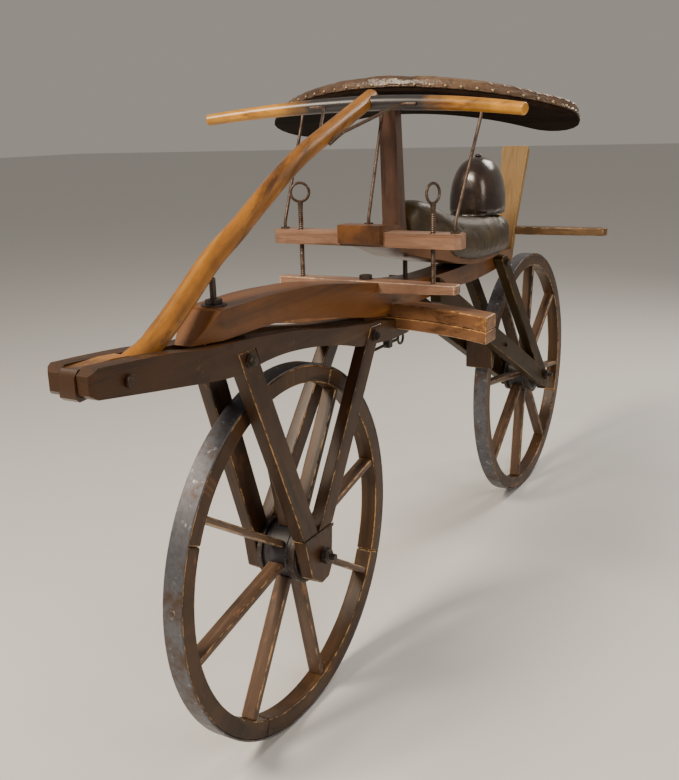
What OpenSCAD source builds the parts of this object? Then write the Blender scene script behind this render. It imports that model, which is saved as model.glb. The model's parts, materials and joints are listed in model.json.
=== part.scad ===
// Hobby horse: a two-wheeled wooden running machine with a steered front wheel.
// Millimetres, +X forwards, +Y to the rider's left, +Z up, origin on the ground under the middle.
// Stations along X are counted from the rear axle, and heights above the wheels' top from "deck".

/* [Wheels] */
// Distance between the two axles
wheelbase = 1317; // [1250:5:1600]
// Outside radius of the front wheel, over its iron tyre
wheel_r = 343; // [300:1:420]
// Outside radius of the rear wheel, over its iron tyre
rear_wheel_r = 356; // [300:1:420]
// Width of the tread
tyre_w = 36; // [28:1:44]
// Thickness of the iron tyre
tyre_t = 3.5; // [2:0.5:6]
// Depth of the wooden rim under the tyre
felloe_depth = 32; // [24:1:40]
// Number of spokes in a wheel
spoke_count = 8; // [6:2:12]
// Width of a spoke along the axle
spoke_w = 30; // [20:1:34]
// Thickness of a spoke round the wheel
spoke_t = 13; // [9:1:18]
// Radius of the wooden hub
hub_r = 50; // [40:1:56]
// Length of the hub along the axle
hub_len = 78; // [60:1:80]
// Radius of both axles
axle_r = 9; // [7:0.5:12]

/* [Beam] */
// Width of the main beam
beam_w = 75; // [60:1:90]
// Width of the beam at its tail
beam_tail_w = 42; // [36:1:56]
// Height of the beam's flat seat on the steering frame, above the wheels' top
beam_seat = 96; // [94:1:98]
// Kingpin's distance ahead of the front axle
kingpin_lead = 184; // [150:1:200]
// Radius of the kingpin
kingpin_r = 5; // [4:0.5:7]
// Distance from the kingpin back to the eye screws and both crossbars
bar_behind_kingpin = 501; // [480:1:510]

/* [Rubbing boards] */
// Inner radius of both boards about the kingpin
board_r = 537; // [530:1:545]
// Depth of both boards
board_depth = 48; // [36:1:60]
// Half length of both boards across the machine
board_half = 267; // [200:1:290]
// Thickness of the fixed board
fixed_board_t = 28; // [20:1:32]
// Thickness of the moving board
moving_board_t = 24; // [18:1:28]

/* [Steering frame] */
// Thickness of each cheek
cheek_t = 28; // [22:1:32]
// Distance between the outer faces of the cheeks
cheek_span = 100; // [94:1:110]
// Space between the cheeks at their front tips
tip_gap = 30.6; // [30.6:0.2:34]
// Reach of the cheeks ahead of the kingpin
cheek_reach = 315; // [295:1:340]
// Thickness of the fork legs and rear struts
leg_t = 26; // [20:1:27]
// Distance from the machine's middle to the inner face of a foot at the axle
foot_inner = 43; // [43:0.5:52]

/* [Tiller and handlebar] */
// Width of the tiller's tail block
tail_w = 28; // [24:0.5:28]
// Radius of the tiller near its tail
tiller_r = 18.5; // [16:0.5:20]
// Radius of the tiller under the handlebar
tiller_end_r = 15.5; // [14:0.5:17]
// Half length of the handlebar
handle_half = 334; // [280:2:350]
// Radius of the handlebar at its middle
handle_r = 14.5; // [12:0.5:16]
// Radius of the handlebar at its ends
handle_tip_r = 11; // [9:0.5:13]

/* [Seat] */
// Half length of the upper crossbar
upper_bar_half = 206; // [195:1:230]
// Half length of the lower crossbar
lower_bar_half = 198; // [170:1:230]
// Distance of each eye screw from the machine's middle
eye_y = 146; // [130:1:160]
// Radius of the eye screws
eye_r = 5.25; // [4:0.25:6.5]
// Half width of the seat board under the saddle
seat_half = 62; // [54:1:68]
// Half length of the balance board
balance_half = 350; // [300:2:360]
// Depth of the balance board from its front to its rear edge
balance_depth = 130; // [100:1:150]
// Radius of the iron stays
stay_r = 3.2; // [2.5:0.1:4]
// Half length of the rear cross bar
rear_bar_half = 265; // [200:1:300]

/* [Hidden] */
$fn = 48;

// Clearances: between bodies that rub, round a running pin, and round a bolt in its hole
rub_gap = 0.3;
pin_gap = 0.05;
bolt_gap = 0.2;

// Main stations and heights
deck = 2 * wheel_r;
axle_z = wheel_r;
kingpin_x = wheelbase + kingpin_lead;
bar_x = kingpin_x - bar_behind_kingpin;
tip_x = kingpin_x + cheek_reach;
middle_x = (tip_x - rear_wheel_r) / 2;

// Axle nuts, and the plain turned end beyond each one
stub_r = 6;
stub_len = 12;
nut_t = 11;
nut_y = foot_inner + leg_t + 2;
rub_z = deck + 24;
board_angle = asin(board_half / (board_r + board_depth));

// Beam and struts
strut_bolt = [344, deck + 52];
long_strut_bolt = [735, deck + 46];
stud_x = 816;
stud_top = deck + 116;
long_strut_top_x = 770;
long_strut_foot_x = 20;
long_strut_rise = long_strut_bolt[1] - 14.4 - rear_wheel_r;
long_strut_slope = atan(long_strut_rise / (long_strut_bolt[0] - long_strut_foot_x));
strut_top_z = deck + 70;
long_strut_w = 50;
steep_strut_w = 46;
steep_top_w = 34;
bolt_r = 5;
beam_side_y = beam_w / 2;

// Leaning upright behind the saddle
upright_x = 182;
upright_z = deck + 29;
upright_lean = 15.45;
upright_t = 20;
upright_len = 315;
cross_bar_z = deck + 111;

// Steering frame and fork
cheek_y = cheek_span / 2;
cheek_inner = cheek_y - cheek_t;
block_low = 44;
beam_top = 142;
kingpin_plate_t = 2;
kingpin_low = deck + block_low - rub_gap;
kingpin_top = deck + 183;
ring_screw_z = deck - 26;
leg_top_z = deck + 71;
leg_washer_r = 11;
fork_foot_top = 45;
front_leg_top_x = kingpin_x - 10;
rear_leg_top_x = kingpin_x - 444;
rear_leg_top_z = deck + 26;
front_leg_bolt = [front_leg_top_x - 4, deck + 56];
rear_leg_bolt = [rear_leg_top_x + 12, deck + 9];
pivot = [kingpin_x + 248, deck + 89];
pivot_r = 6;
tail_drop = 17;

// Handlebar: its middle, and how far its ends sweep forwards and drop
handle_centre = [kingpin_x - 521, deck + 440];
handle_sweep_x = 62;
handle_drop = 21;

// Seat, hinge and balance rest
hinge_x = 306;
hinge_pin_r = 4;
hinge_z = deck + 84;
seat_rear_x = 320;
upper_bar_low = deck + 172;
upper_bar_high = deck + 200;
upper_bar_rear = 28;
upper_bar_front = 17;
lower_bar_low = deck + 82;
lower_bar_high = deck + 105;
eye_centre_z = deck + 274;
eye_ring_r = 18.5;
eye_wire_r = 2.75;
post_x = 864;
post_top_x = 883;
slot_travel = 5.5;
balance_front = [925, deck + 494];
balance_tilt = 19.5;
balance_r = 447;
balance_board_t = 8;
balance_pad_t = 26;
stay_y = 188;
stay_top_y = 199;

// Saddle: rounded cross-sections [station, half width, low, high] over the seat board
saddle_rings = [
    [seat_rear_x + 2, 56, 78, 150], [345, 72, 73.5, 172], [420, 80, 74.5, 178], [500, 83, 77, 181],
    [570, 83, 80, 186], [640, 80, 90, 195], [700, 74, 102, 210], [750, 62, 114, 229],
    [790, 48, 124, 244], [818, 38, 134, 240], [838, 24, 150, 216]
];

// Bolster: the middle of its base, and its size
bolster_z = deck + 174;
bolster_x = 385;
bolster_len = 164;
bolster_half = 66;
bolster_high = 146;

// Brake block
brake_pin = [345, rear_wheel_r + (345 - long_strut_foot_x) * tan(long_strut_slope)];
brake_pin_r = 5;
brake_gap = 8;
brake_half = 36;

// ---------- Helpers ----------

function unit(v) = v / norm(v);

function direction(a) = [cos(a), sin(a)];

// Smooth curve through the points p, with n steps between neighbours
function curve(p, n = 6) = concat([
    for (i = [0 : len(p) - 2], k = [0 : n - 1])
        let (
            a = p[max(i - 1, 0)],
            b = p[i],
            c = p[i + 1],
            d = p[min(i + 2, len(p) - 1)],
            t = k / n
        )
        (2 * b + (c - a) * t + (2 * a - 5 * b + 4 * c - d) * t * t + (3 * b - a - 3 * c + d) * t * t * t) / 2
], [p[len(p) - 1]]);

// Points of an outline written as [station, height above deck]
function on_deck(p) = [for (q = p) [q[0], deck + q[1]]];

// Places a module that is drawn in stations from the rear axle
module placed() translate([-middle_x, 0, 0]) children();

// Side view outline, with a width across the machine
module side(outline, width, y = 0)
    translate([0, y, 0]) rotate([90, 0, 0]) linear_extrude(width, center = true) polygon(outline);

// Plan view outline, cut tall enough to cross the whole machine
module plan(outline) linear_extrude(4 * wheel_r) polygon(outline);

// Cylinder across the machine at [station, height]
module cross_cylinder(at, r, half, y = 0)
    translate([at[0], y, at[1]]) rotate([90, 0, 0]) cylinder(r = r, h = 2 * half, center = true);

module both_sides() {
    children();
    mirror([0, 1, 0]) children();
}

// Oval bar swept along a path: radii holds [across, upright] for each point
module sweep(path, radii, sides = 14, across = [0, 1, 0]) {
    last = len(path) - 1;
    heading = [for (i = [0 : last]) unit(path[min(i + 1, last)] - path[max(i - 1, 0)])];
    points = [
        for (i = [0 : last])
            let (up = unit(cross(heading[i], across)), out = cross(up, heading[i]))
            for (k = [0 : sides - 1])
                path[i] + radii[i][0] * cos(360 * k / sides) * out + radii[i][1] * sin(360 * k / sides) * up
    ];
    walls = [
        for (i = [0 : last - 1], k = [0 : sides - 1])
            let (a = i * sides + k, b = i * sides + (k + 1) % sides)
            each [[a, a + sides, b + sides], [a, b + sides, b]]
    ];
    start_cap = [for (k = [1 : sides - 2]) [0, k, k + 1]];
    end_cap = [for (k = [1 : sides - 2]) [last * sides, last * sides + k + 1, last * sides + k]];
    polyhedron(points, concat(walls, start_cap, end_cap));
}

// Round rod of one radius along a few points
module rod(path, r, across = [0, 1, 0]) sweep(path, [for (p = path) [r, r]], 10, across);

// Outline drawn in side view and leant outwards, so that its inner face meets the axle at foot_inner.
// top is [distance from the middle, height] where the outline starts to lean.
module splayed(outline, top) {
    lean = atan((foot_inner - top[0]) / (top[1] - axle_z));
    translate([0, top[0], top[1]]) rotate([lean, 0, 0]) translate([0, leg_t / 2, -top[1]])
        rotate([90, 0, 0]) linear_extrude(leg_t, center = true) polygon(outline);
}

// Straight strip between two points [station, height], with its width at each end
function strip(a, b, wa, wb) =
    let (d = unit(b - a), n = [d[1], -d[0]])
    [a + n * wa / 2, b + n * wb / 2, b - n * wb / 2, a - n * wa / 2];

module hex_nut_y(at, y, r, t, bore)
    translate([at[0], y, at[1]]) rotate([-90, 0, 0]) difference() {
        cylinder(r = r, h = t, $fn = 6);
        translate([0, 0, -1]) cylinder(r = bore, h = t + 2);
    }

// ---------- Wheels ----------

// Radius of the wheel whose axle is at station x, and so the height of that axle
function radius_at(x) = x == 0 ? rear_wheel_r : wheel_r;

module hub(x) color("#3a2a20") placed() difference() {
    union() {
        cross_cylinder([x, radius_at(x)], hub_r, hub_len / 2);
        cross_cylinder([x, radius_at(x)], hub_r + 2, spoke_w / 2 + 4);
    }
    cross_cylinder([x, radius_at(x)], axle_r + 4, hub_len);
}

// Two end bands round the hub and two bushes in its bore
module hub_irons(x) color("#4a4a50") placed() {
    both_sides() difference() {
        cross_cylinder([x, radius_at(x)], hub_r + 6, 5, hub_len / 2 - 5);
        cross_cylinder([x, radius_at(x)], hub_r, 6, hub_len / 2 - 5);
    }
    both_sides() difference() {
        cross_cylinder([x, radius_at(x)], axle_r + 4, 12, hub_len / 2 - 10);
        cross_cylinder([x, radius_at(x)], axle_r + pin_gap, 13, hub_len / 2 - 10);
    }
}

module spokes(x, turn) color("#4b3524") placed()
    translate([x, 0, radius_at(x)]) rotate([90, 0, 0]) difference() {
        intersection() {
            for (i = [0 : spoke_count / 2 - 1])
                rotate(360 * i / spoke_count + turn)
                    cube([2 * radius_at(x), spoke_t, spoke_w], center = true);
            cylinder(r = radius_at(x) - tyre_t - felloe_depth, h = spoke_w + 2, center = true);
        }
        cylinder(r = hub_r + 2, h = spoke_w + 4, center = true);
    }

// Wooden rim in four bent lengths, with a hair joint between them
module felloes(x) color("#5a3c22") placed() translate([x, 0, radius_at(x)]) rotate([90, 0, 0]) difference() {
    cylinder(r = radius_at(x) - tyre_t, h = tyre_w, center = true, $fn = 96);
    cylinder(r = radius_at(x) - tyre_t - felloe_depth, h = tyre_w + 2, center = true, $fn = 96);
    for (i = [0 : 1])
        rotate(90 * i + 24) cube([2 * radius_at(x) + 10, rub_gap, tyre_w + 4], center = true);
}

module tyre(x) color("#55575c") placed() translate([x, 0, radius_at(x)]) rotate([90, 0, 0]) difference() {
    cylinder(r = radius_at(x), h = tyre_w, center = true, $fn = 96);
    cylinder(r = radius_at(x) - tyre_t, h = tyre_w + 2, center = true, $fn = 96);
}

module axle(x) color("#6b5646") placed() {
    cross_cylinder([x, radius_at(x)], axle_r, nut_y + nut_t);
    cross_cylinder([x, radius_at(x)], stub_r, nut_y + nut_t + stub_len);
}

module axle_nuts(x) color("#4a3a30") placed() both_sides()
    hex_nut_y([x, radius_at(x)], nut_y, 15, nut_t - 1, axle_r);

// ---------- Main beam ----------

module beam_blank() intersection() {
    side(on_deck(concat(
        [[kingpin_x + 32, beam_top - 2], [kingpin_x + 20, beam_top]],
        curve([[kingpin_x - 30, beam_top], [kingpin_x - 100, 143], [kingpin_x - 178, 140],
            [kingpin_x - 289, 131], [kingpin_x - 485, 102], [784, 78], [650, 73], [527, 73], [253, 69],
            [upright_front(deck + 67), 67]]),
        curve([[upright_front(deck + 43), 43], [339, 34], [503, 28], [640, 32], [bar_x - 120, 33],
            [kingpin_x - 491, 34], [kingpin_x - 321, 64], [kingpin_x - 183, 88], [kingpin_x - 106, 95],
            [kingpin_x - 60, beam_seat]]),
        [[kingpin_x + 82, beam_seat]]
    )), beam_w);
    plan([
        [kingpin_x + 83, -15], [kingpin_x + 83, 15], [kingpin_x + 30, beam_w / 2], [320, beam_w / 2],
        [140, beam_tail_w / 2], [140, -beam_tail_w / 2], [320, -beam_w / 2], [kingpin_x + 30, -beam_w / 2]
    ]);
}

module main_beam() color("#a0672c") placed() difference() {
    beam_blank();
    fixed_board_blank();
    lower_bar_blank();
    translate([kingpin_x, 0, 0]) cylinder(r = kingpin_r + bolt_gap, h = 2 * deck);
    translate([bar_x, 0, 0]) cylinder(r = bolt_r + bolt_gap, h = 2 * deck);
    translate([stud_x, 0, deck + 50]) cylinder(r = bolt_r, h = 100);
    beam_bolt_holes();
}

module beam_bolt_holes() {
    cross_cylinder(strut_bolt, bolt_r + bolt_gap, 100);
    cross_cylinder(long_strut_bolt, bolt_r + bolt_gap, 100);
}

// Lower crossbar: deep where it is let into the beam, thin at its ends
module lower_bar_blank() intersection() {
    translate([bar_x - 20, -lower_bar_half, lower_bar_low]) cube([40, 2 * lower_bar_half, 30]);
    translate([bar_x - 30, 0, 0]) rotate([90, 0, 90]) linear_extrude(60) polygon([
        [-lower_bar_half, lower_bar_low + 4], [-beam_w, lower_bar_low], [beam_w, lower_bar_low],
        [lower_bar_half, lower_bar_low + 4], [lower_bar_half, lower_bar_high - 1], [beam_w, lower_bar_high],
        [-beam_w, lower_bar_high], [-lower_bar_half, lower_bar_high - 1]
    ]);
    plan([
        [bar_x - 20, -beam_w], [bar_x - 20, beam_w], [bar_x - 15, lower_bar_half - 4],
        [bar_x - 11, lower_bar_half], [bar_x + 11, lower_bar_half], [bar_x + 15, lower_bar_half - 4],
        [bar_x + 20, beam_w], [bar_x + 20, -beam_w], [bar_x + 15, 4 - lower_bar_half],
        [bar_x + 11, -lower_bar_half], [bar_x - 11, -lower_bar_half], [bar_x - 15, 4 - lower_bar_half]
    ]);
}

module lower_crossbar() color("#7b5b44") placed() difference() {
    lower_bar_blank();
    translate([bar_x, 0, 0]) cylinder(r = bolt_r + bolt_gap, h = 2 * deck);
    for (s = [-1, 1])
        translate([bar_x, s * eye_y, 0]) cylinder(r = eye_r + pin_gap, h = 2 * deck);
}

// Board segment about the kingpin, from height z0 to z1
module board_segment(z0, z1) intersection() {
    translate([kingpin_x, 0, 0]) rotate(180 - board_angle - 4)
        rotate_extrude(angle = 2 * board_angle + 8, $fn = 96)
            translate([board_r, z0]) square([board_depth, z1 - z0]);
    translate([kingpin_x - board_r - 2 * board_depth, -board_half, 0])
        cube([board_r, 2 * board_half, 2 * deck]);
}

module fixed_board_blank() board_segment(rub_z + rub_gap / 2, rub_z + fixed_board_t);

module fixed_rubbing_board() color("#6e4a30") placed() fixed_board_blank();

module moving_rubbing_board() color("#6e4a30") placed()
    board_segment(rub_z - moving_board_t, rub_z - rub_gap / 2);

// ---------- Rear struts ----------

strut_top = [beam_side_y, deck + 75];

steep_top = strut_bolt + 26 * unit(strut_bolt - [0, rear_wheel_r]);
steep_low = [0, rear_wheel_r] - 48 * unit(strut_bolt - [0, rear_wheel_r]);

function steep_outline() = strip(steep_top, steep_low, steep_top_w, steep_strut_w);

// Point on the front edge of the steep strut that a line from p at the long strut's slope reaches
function on_steep_front(p) =
    let (
        o = steep_outline(),
        a = o[3],
        e = o[2] - o[3],
        d = [cos(long_strut_slope), sin(long_strut_slope)],
        t = ((a - p)[0] * e[1] - (a - p)[1] * e[0]) / (d[0] * e[1] - d[1] * e[0])
    )
    p + t * d;

// The long strut's middle line runs to the axle, and its end is cut to butt on the steep strut
function long_outline() =
    let (
        reach = long_strut_top_x - long_strut_foot_x,
        top = [long_strut_top_x, rear_wheel_r + reach * tan(long_strut_slope)],
        n = [-sin(long_strut_slope), cos(long_strut_slope)] * long_strut_w / 2,
        high = top + n - [n[0], n[0] * tan(long_strut_slope)],
        low = top - n + [n[0], n[0] * tan(long_strut_slope)]
    )
    [high, low, on_steep_front(low), on_steep_front(high)];

// Its top is cut level under the seat
module steep_strut() difference() {
    splayed(steep_outline(), strut_top);
    translate([0, 0, strut_top_z]) linear_extrude(wheel_r) square(wheelbase, center = true);
    cross_cylinder([0, rear_wheel_r], axle_r, 200);
    cross_cylinder(strut_bolt, bolt_r + bolt_gap, 200);
}

module long_strut() difference() {
    splayed(long_outline(), strut_top);
    cross_cylinder(brake_pin, brake_pin_r, 200);
    cross_cylinder(long_strut_bolt, bolt_r + bolt_gap, 200);
}

module rear_long_strut_left() color("#4e3622") placed() long_strut();
module rear_long_strut_right() color("#4e3622") placed() mirror([0, 1, 0]) long_strut();
module rear_steep_strut_left() color("#4e3622") placed() steep_strut();
module rear_steep_strut_right() color("#4e3622") placed() mirror([0, 1, 0]) steep_strut();

// Bolts of the fixed frame: two through bolts with round heads, the crossbar bolt, the stud behind it
// and the bolt that holds the upright to the beam's tail
module frame_bolts() color("#3c332c") placed() {
    for (at = [strut_bolt, long_strut_bolt]) {
        cross_cylinder(at, bolt_r, beam_side_y + leg_t + 4);
        both_sides() cross_cylinder(at, bolt_r * 2, 3, beam_side_y + leg_t + 6);
    }
    translate([bar_x, 0, deck + 31]) cylinder(r = bolt_r, h = 82);
    translate([bar_x, 0, lower_bar_high]) cylinder(r = 13, h = 9, $fn = 6);
    difference() {
        translate([bar_x, 0, deck + 27.5]) cylinder(r = 11, h = 8);
        beam_blank();
    }
    translate([stud_x, 0, deck + 50]) cylinder(r = bolt_r, h = stud_top - deck - 50);
    upright_bolt();
}

// ---------- Rear upright and cross bar ----------

function upright_front(z) =
    upright_x - (z - upright_z) * tan(upright_lean) + upright_t / 2 / cos(upright_lean);

module in_upright() translate([upright_x, 0, upright_z]) rotate([0, -upright_lean, 0]) children();

module upright_bolt() in_upright() translate([0, 0, 25]) rotate([0, 90, 0]) {
    translate([0, 0, -upright_t / 2]) cylinder(r = bolt_r, h = upright_t);
    translate([0, 0, -upright_t / 2 - 5]) cylinder(r = bolt_r * 2, h = 5);
}

module upright_blank() in_upright() rotate([90, 0, 90]) linear_extrude(upright_t, center = true) polygon([
    [-21, 0], [21, 0], [24, 110], [37.5, upright_len - 10], [34, upright_len],
    [-34, upright_len], [-37.5, upright_len - 10], [-24, 110]
]);

module rear_upright() color("#8b7350") placed() difference() {
    upright_blank();
    in_upright() translate([0, 0, 25]) rotate([0, 90, 0]) cylinder(r = bolt_r, h = 60, center = true);
}

module rear_cross_bar() color("#5c4630") placed() difference() {
    translate([0, 0, cross_bar_z - 10.5]) linear_extrude(21) polygon([
        [114, -rear_bar_half + 8], [122, -rear_bar_half], [134, -rear_bar_half], [142, -rear_bar_half + 8],
        [160, -60], [160, 60], [142, rear_bar_half - 8], [134, rear_bar_half], [122, rear_bar_half],
        [114, rear_bar_half - 8], [124, 60], [124, -60]
    ]);
    upright_blank();
    translate([upright_x, -100, upright_z]) rotate([0, -upright_lean, 0]) cube([60, 200, upright_len]);
}

// ---------- Kingpin ----------

// The pin's head hangs a rubbing gap below the steering frame's block
module kingpin() color("#5a4a3c") placed() translate([kingpin_x, 0, 0]) {
    translate([0, 0, kingpin_low]) cylinder(r = kingpin_r, h = kingpin_top - kingpin_low);
    translate([0, 0, kingpin_low - 6]) cylinder(r = 15, h = 6);
}

module kingpin_plate() color("#4b4b4f") placed() translate([kingpin_x, 0, deck + beam_top]) difference() {
    cylinder(r = 20, h = kingpin_plate_t);
    translate([0, 0, -1]) cylinder(r = kingpin_r, h = kingpin_plate_t + 2);
}

module kingpin_nut() color("#4b4b4f") placed()
    translate([kingpin_x, 0, deck + beam_top + kingpin_plate_t]) difference() {
        translate([-10, -10, 0]) cube([20, 20, 8]);
        translate([0, 0, -1]) cylinder(r = kingpin_r, h = 10);
    }

// ---------- Steering frame ----------

fork_top = [cheek_y - leg_t, leg_top_z];
fork_lean = atan((foot_inner - fork_top[0]) / (leg_top_z - axle_z));

// Distance from the middle to the outer face of a fork leg at height z
function leg_face(z) = fork_top[0] + leg_t / cos(fork_lean) + (leg_top_z - z) * tan(fork_lean) + 0.1;

module cheek_blank() intersection() {
    side(on_deck(concat(
        curve([[tip_x - 16, 118], [kingpin_x + 242, 114], [kingpin_x + 151, 105.5], [kingpin_x + 85, 95],
            [kingpin_x - 18, 89.5], [kingpin_x - 165, 73], [kingpin_x - 302, 50], [kingpin_x - 454, 30],
            [kingpin_x - board_r + 12, 22]]),
        [[kingpin_x - board_r + 5, 22], [kingpin_x - board_r + 5, 24 - moving_board_t],
            [kingpin_x - board_r - board_depth - 8, 24 - moving_board_t],
            [kingpin_x - board_r - board_depth - 8, -tail_drop]],
        curve([[kingpin_x - board_r + 20, -tail_drop], [kingpin_x - 385, -3], [kingpin_x - 319, 14],
            [kingpin_x - 219, 33], [kingpin_x - 132, 43], [kingpin_x - 63, 44], [kingpin_x + 4, 39],
            [kingpin_x + 75, 45], [kingpin_x + 155, 56], [kingpin_x + 247, 69], [tip_x - 12, 77]]),
        [[tip_x - 3, 84], [tip_x - 3, 109]]
    )), cheek_span);
    plan([
        [kingpin_x - board_r - 2 * board_depth, cheek_inner], [kingpin_x + 60, cheek_inner],
        [kingpin_x + 200, tip_gap / 2], [tip_x + 1, tip_gap / 2], [tip_x + 1, tip_gap / 2 + 15],
        [tip_x - 10, tip_gap / 2 + 25],
        [kingpin_x + 200, tip_gap / 2 + cheek_t + 2], [kingpin_x + 60, cheek_y],
        [kingpin_x - board_r - 2 * board_depth, cheek_y]
    ]);
}

module cheek() difference() {
    cheek_blank();
    splayed(front_leg_outline(), fork_top);
    splayed(rear_leg_outline(), fork_top);
    for (at = [front_leg_bolt, rear_leg_bolt]) cross_cylinder(at, bolt_r, 200);
    cross_cylinder(pivot, pivot_r, 100);
}

module steering_cheek_left() color("#5d3f26") placed() cheek();
module steering_cheek_right() color("#5d3f26") placed() mirror([0, 1, 0]) cheek();

module kingpin_block() color("#4b3524") placed() difference() {
    translate([kingpin_x - 50, -cheek_inner, deck + block_low])
        cube([106, 2 * cheek_inner, beam_seat - rub_gap - block_low]);
    translate([kingpin_x, 0, deck]) cylinder(r = kingpin_r + pin_gap, h = 120);
}

// Fork legs run from the cheeks down to the foot, and keep their slant when the wheel size changes
foot_top_z = axle_z + fork_foot_top;

function front_leg_outline() = [
    [front_leg_top_x - 24, leg_top_z], [front_leg_top_x + 24, leg_top_z],
    [wheelbase + 58, foot_top_z], [wheelbase + 10, foot_top_z]
];

function rear_leg_outline() = [
    [rear_leg_top_x - 24, rear_leg_top_z], [rear_leg_top_x + 24, rear_leg_top_z],
    [wheelbase + 8, foot_top_z], [wheelbase - 40, foot_top_z]
];

function foot_outline() = [
    [wheelbase - 40, foot_top_z], [wheelbase + 58, foot_top_z], [wheelbase + 41, axle_z - 32],
    [wheelbase + 10, axle_z - 53], [wheelbase - 14, axle_z - 50], [wheelbase - 27, axle_z - 34]
];

module front_leg() difference() {
    splayed(front_leg_outline(), fork_top);
    cross_cylinder(front_leg_bolt, bolt_r, 200);
}

module rear_leg() difference() {
    splayed(rear_leg_outline(), fork_top);
    cross_cylinder(rear_leg_bolt, bolt_r, 200);
}

module fork_front_leg_left() color("#4e3622") placed() front_leg();
module fork_front_leg_right() color("#4e3622") placed() mirror([0, 1, 0]) front_leg();
module fork_rear_leg_left() color("#4e3622") placed() rear_leg();
module fork_rear_leg_right() color("#4e3622") placed() mirror([0, 1, 0]) rear_leg();

module fork_feet() color("#4e3622") placed() both_sides() difference() {
    splayed(foot_outline(), fork_top);
    cross_cylinder([wheelbase, axle_z], axle_r, 200);
}

// Short bolts from the outer face of each leg into the cheek, with a washer, a nut and a bolt end
module leg_bolts() color("#7a6a58") placed() both_sides() for (at = [front_leg_bolt, rear_leg_bolt])
    let (face = leg_face(at[1] - leg_washer_r)) {
        translate([at[0], fork_top[0], at[1]]) rotate([-90, 0, 0])
            cylinder(r = bolt_r, h = face + 13 - fork_top[0]);
        translate([at[0], face, at[1]]) rotate([-90, 0, 0]) cylinder(r = leg_washer_r, h = 3);
        translate([at[0], face + 3, at[1]]) rotate([-90, 0, 0]) cylinder(r = 8.5, h = 7, $fn = 6);
    }

// Thin iron straps over the joint between the legs and the foot, on its outer face
module foot_straps() color("#7a6248") placed() both_sides()
    splayed_skin([[wheelbase - 39, foot_top_z - 5], [wheelbase + 57, foot_top_z - 5],
        [wheelbase + 58, foot_top_z + 1], [wheelbase - 40, foot_top_z + 1]]);

module splayed_skin(outline) {
    translate([0, fork_top[0], fork_top[1]]) rotate([fork_lean, 0, 0]) translate([0, leg_t + 1, -fork_top[1]])
        rotate([90, 0, 0]) linear_extrude(2, center = true) polygon(outline);
}

module tiller_pivot_bolt() color("#5a4636") placed() {
    cross_cylinder(pivot, pivot_r, tip_gap / 2 + 29);
    both_sides() cross_cylinder(pivot, 9, 3, tip_gap / 2 + 31.5);
}

// Ring screw that runs back from the left rear leg, through a square eye under the cheek's tail
module ring_screw() color("#5b4a3a") placed() difference() {
    translate([0, cheek_y - leg_t / 2 + 4, ring_screw_z]) {
        translate([kingpin_x - 560, 0, 0]) rotate([0, 90, 0]) cylinder(r = 3, h = 150);
        translate([kingpin_x - 520, -7, -7]) cube([15, 14, 14 - tail_drop - ring_screw_z + deck]);
        translate([kingpin_x - 560 - 12, 0, 0]) rotate([90, 0, 0])
            rotate_extrude() translate([12, 0]) circle(r = 2.6, $fn = 24);
    }
    splayed(rear_leg_outline(), fork_top);
    cheek_blank();
}

// ---------- Tiller, handlebar and braces ----------

function handle_point(s) =
    [handle_centre[0] + handle_sweep_x * s * s, handle_half * s, handle_centre[1] - handle_drop * s * s];

module handle_blank() let (steps = 12) sweep(
    [for (i = [-steps : steps]) handle_point(i / steps)],
    [for (i = [-steps : steps])
        let (r = handle_r + (handle_tip_r - handle_r) * pow(abs(i) / steps, 1.4)) [r, r]],
    16, [0, 0, 1]
);

tiller_route = curve([
    [kingpin_x + 225, deck + 92], [kingpin_x + 170, deck + 104], [kingpin_x + 118, deck + 131],
    [kingpin_x + 55, deck + 173], [kingpin_x - 3, deck + 213], [kingpin_x - 80, deck + 252],
    [kingpin_x - 171, deck + 303], [kingpin_x - 269, deck + 352], [kingpin_x - 375, deck + 391],
    [kingpin_x - 493, deck + 434], [kingpin_x - 541, deck + 452]
], 3);

// First point of the route that stands clear above the cheeks
tiller_clear = 5;

module tiller_blank() let (last = len(tiller_route) - 1) sweep(
    [for (p = tiller_route) [p[0], 0, p[1]]],
    [for (i = [0 : last])
        let (r = tiller_r + (tiller_end_r - tiller_r) * i / last)
        [i < tiller_clear ? tail_w / 2 + 0.5 : r, i < 2 ? 13 + i * 2 : r]],
    18
);

module tiller() color("#b07a30") placed() difference() {
    union() {
        tiller_blank();
        side(on_deck([[kingpin_x + 210, 80], [tip_x - 6, 73], [tip_x, 78], [tip_x, 106], [tip_x - 8, 115],
            [kingpin_x + 240, 115], [kingpin_x + 210, 112]]), tail_w);
    }
    handle_blank();
    cross_cylinder(pivot, pivot_r + pin_gap, 100);
}

module handlebar() color("#8a5a26") placed() handle_blank();

// Two thin iron braces from the handlebar to the tiller
module handlebar_braces() color("#6b5138") placed() difference() {
    both_sides() brace();
    handle_blank();
}

module brace() rod([
    handle_point(0.34) + [15, 0, -2], handle_point(0.28) + [17, 0, -2], handle_point(0.24) + [21, 0, -4],
    [kingpin_x - 380, 24, deck + 389], [kingpin_x - 358, 19.5, deck + 378], [kingpin_x - 340, 19, deck + 370]
], stay_r, [0, 0, 1]);

// ---------- Seat ----------

module seat_blank() intersection() {
    side(concat(
        curve([[bar_x + 32, deck + 214], [bar_x - 60, deck + 206], [846, deck + 160], [740, deck + 139],
            [521, deck + 105], [seat_rear_x, deck + 100]]),
        curve([[seat_rear_x, deck + 72], [521, deck + 75.5], [640, deck + 88], [754, deck + 112],
            [846, deck + 130], [bar_x - 28, deck + 166], [bar_x + 32, deck + 179]])
    ), 2 * seat_half + 10);
    plan(concat(
        seat_edge(),
        [for (i = [len(seat_edge()) - 1 : -1 : 0]) [seat_edge()[i][0], -seat_edge()[i][1]]]
    ));
}

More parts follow.
